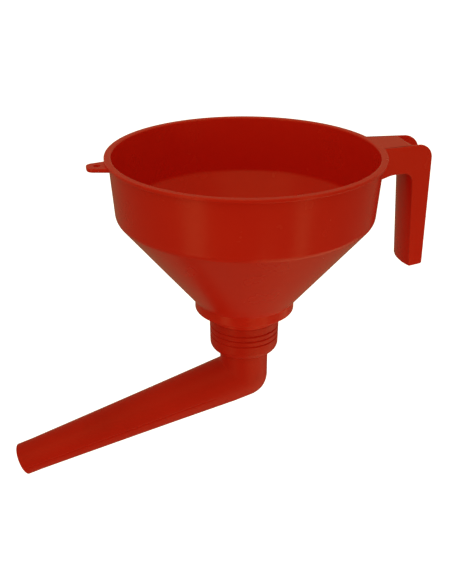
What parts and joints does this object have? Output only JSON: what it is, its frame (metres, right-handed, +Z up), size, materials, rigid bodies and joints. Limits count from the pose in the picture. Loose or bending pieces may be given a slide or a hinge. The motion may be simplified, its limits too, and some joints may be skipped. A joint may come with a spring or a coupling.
{
  "type": "funnel",
  "caption": "Wide-mouth funnel with a side handle, hanging eye, lift-out strainer and an angled spout that swivels in a union nut.",
  "frame": {"origin": "centre of the rim's top plane, on the bowl's axis", "axes": "+Z up along the bowl's axis, +X towards the handle, -X towards the hanging eye"},
  "size_m": [0.3843, 0.24, 0.3159],
  "materials": {
    "red_bowl": "semi-gloss moulded red polyethylene",
    "red_nut": "semi-gloss moulded red polyethylene",
    "red_spout": "semi-gloss moulded red polyethylene",
    "strainer_plastic": "satin black moulded plastic",
    "brass_gauze": "woven wire",
    "washer_plastic": "smooth natural nylon",
    "seal_rubber": "matt"
  },
  "bodies": {
    "funnel_body": {"bowl_wall": "red_bowl", "bowl_cone": "red_bowl", "outlet_neck": "red_bowl", "carrying_handle": "red_bowl", "hanging_eye": "red_bowl"},
    "strainer": {"strainer_frame": "strainer_plastic", "strainer_gauze": "brass_gauze"},
    "slip_washer": {"slip_washer": "washer_plastic"},
    "union_nut": {"union_nut": "red_nut"},
    "spout": {"spout_collar": "red_spout", "spout_elbow": "red_spout", "spout_tube": "red_spout", "seal_ring": "seal_rubber"}
  },
  "joints": [
    {"name": "strainer_lift", "type": "slide", "parent": "funnel_body", "child": "strainer", "axis": [0, 0, 1], "range_m": [0, 0.17]},
    {"name": "nut_turn", "type": "hinge", "parent": "slip_washer", "child": "union_nut", "pos_m": [0, 0, -0.17], "axis": [0, 0, -1], "range_deg": [0, 720]},
    {"name": "washer_drop", "type": "slide", "parent": "funnel_body", "child": "slip_washer", "axis": [0, 0, -1], "range_m": [0, 0.008]},
    {"name": "spout_swivel", "type": "hinge", "parent": "slip_washer", "child": "spout", "pos_m": [0, 0, -0.216], "axis": [0, 0, 1], "continuous": true}
  ],
  "couplings": [
    {"joint": "washer_drop", "follows": "nut_turn", "m_per_rad": 0.00063598}
  ]
}
